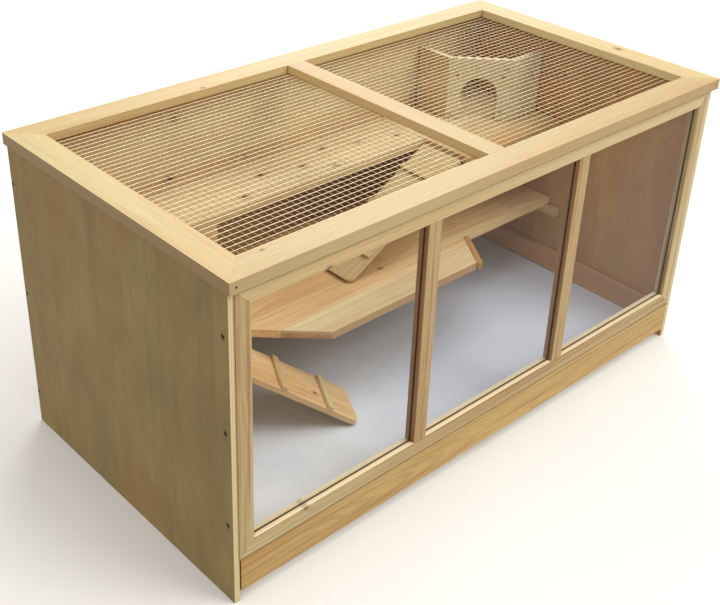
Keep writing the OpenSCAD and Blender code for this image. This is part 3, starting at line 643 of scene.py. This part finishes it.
def dress_lid():
    # Painted shade on the left rail's outer face, and painted light on the faces of the right rail and
    # the crossbar that look to the left
    lit_and_shaded_sides = {
        "lid_left_rail": (-X, rgb(146, 114, 68), 0.8),
        "lid_right_rail": (-X, rgb(246, 226, 176), 0.7),
        "lid_crossbar": (-X, rgb(246, 216, 160), 0.7),
    }
    for name, look, along, seed, knots in (
        ("lid_front_rail", LID_FRONT, X, 81, [((-0.489, -0.259, LID_TOP), 1.8 * MM)]),
        ("lid_back_rail", LID, X, 82, [((-0.2103, 0.2570, LID_TOP), 2.2 * MM)]),
        ("lid_left_rail", LID, Y, 83, []),
        ("lid_right_rail", LID, Y, 84, [((0.556, -0.082, LID_TOP), 4 * MM)]),
        ("lid_crossbar", LID_FRONT, Y, 85, []),
    ):
        dress_wood(name, look, along, Z, seed, 1.0 * MM, knots=knots, side=lit_and_shaded_sides.get(name))


def wire(name):
    """Zinc wire, its two layers tinted apart to stand in for how each catches the light.

    The upper layer, which runs lengthwise, is bright and the one below is dull.
    """
    low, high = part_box("lid_mesh_left")
    between = (low[2] + high[2]) / 2
    g = Graph(name)
    coords = g.node("ShaderNodeTexCoord").outputs["Object"]
    spangle = g.noise(coords, 250, 3, 0.6, 0.5)
    bright = g.mix(g.step(spangle, 0.35, 0.7), rgb(252, 240, 216), rgb(234, 219, 191))
    dull = g.mix(g.step(spangle, 0.35, 0.7), rgb(190, 168, 130), rgb(168, 147, 110))
    upper = g.step(g.parts(coords)[2], between - 0.05 * MM, between + 0.05 * MM)
    return g.surface({
        "Base Color": g.mix(upper, dull, bright),
        "Metallic": 0.5,
        "Roughness": g.scaled(spangle, 0.3, 0.35),
        "Normal": g.bump(spangle, 0.03 * MM),
    })


def dress_metal():
    mesh = wire("galvanised_wire")
    for name in ("lid_mesh_left", "lid_mesh_right"):
        dress(name, mesh)
    staple = metal("staple_wire", rgb(206, 198, 180), rgb(176, 168, 150), 0.5, 4 * MM, 0.6)
    dress("mesh_staples", staple)
    zinc = metal("zinc_plate", rgb(176, 176, 171), rgb(142, 142, 139), 0.40, 6 * MM)
    for name in NODES:
        if "hinge" in name:
            dress(name, zinc)
    dark = metal("black_steel", rgb(62, 54, 48), rgb(38, 34, 32), 0.5, 1.5 * MM)
    dress("panel_screws", dark)
    dress("lid_corner_nails", dark)


# ---- Stage ----------------------------------------------------------------------------------


# What the lights point at, and what the one behind points at
AIM = (0, 0, 0.3)
BACK_AIM = (0, 0, 0.5)
FLOOR_HALF_SIZE = 60
FLOOR_GLOW = 0.08
WORLD_COLOUR = (1.0, 0.95, 0.86, 1)
WORLD_STRENGTH = 0.54


def make_floor():
    size = FLOOR_HALF_SIZE
    mesh = bpy.data.meshes.new("studio_floor")
    corners = [(-size, -size, 0), (size, -size, 0), (size, size, 0), (-size, size, 0)]
    mesh.from_pydata(corners, [], [(0, 1, 2, 3)])
    floor = bpy.data.objects.new("studio_floor", mesh)
    bpy.context.scene.collection.objects.link(floor)
    g = Graph("studio_floor")
    coords = g.node("ShaderNodeTexCoord").outputs["Object"]
    tone = g.mix(g.noise(coords, 1.5, 3), rgb(232, 232, 232), rgb(229, 229, 229))
    mesh.materials.append(g.surface({
        "Base Color": tone, "Roughness": 0.9, "Specular IOR Level": 0.1,
        "Emission Color": (1, 1, 1, 1), "Emission Strength": FLOOR_GLOW,
    }))
    # A plain background: it glows faintly, takes shadows and doesn't light the object from below
    floor.visible_diffuse = False


def make_light(name, place, target, size, power, colour):
    data = bpy.data.lights.new(name, "AREA")
    data.shape = "DISK"
    data.size = size
    data.energy = power
    data.color = colour
    light = bpy.data.objects.new(name, data)
    light.location = place
    light.rotation_mode = "QUATERNION"
    light.rotation_quaternion = (Vector(target) - Vector(place)).to_track_quat("-Z", "Y")
    bpy.context.scene.collection.objects.link(light)


def make_lights():
    make_light(
        "key_light", place=(2.6, -4.3, 5.6), target=AIM,
        size=4.2, power=245, colour=(1.0, 0.96, 0.88),
    )
    make_light(
        "top_light", place=(0.3, -0.5, 7.5), target=AIM,
        size=6.0, power=250, colour=(1.0, 0.98, 0.96),
    )
    make_light(
        "back_light", place=(4.2, 4.6, 3.4), target=BACK_AIM,
        size=3.5, power=170, colour=(1.0, 0.98, 0.97),
    )
    make_light(
        "front_light", place=(-0.5, -6.0, 1.7), target=AIM,
        size=4.0, power=22, colour=(1.0, 0.97, 0.92),
    )
    world = bpy.data.worlds.new("studio")
    world.use_nodes = True
    background = world.node_tree.nodes["Background"]
    background.inputs["Color"].default_value = WORLD_COLOUR
    background.inputs["Strength"].default_value = WORLD_STRENGTH
    bpy.context.scene.world = world
    bpy.context.scene.view_settings.view_transform = "Standard"


make_camera()
dress_panels()
dress_base()
dress_front()
dress_mid_shelf()
dress_upper_floor()
dress_houses()
dress_ramps()
dress_lid()
dress_metal()
make_floor()
make_lights()
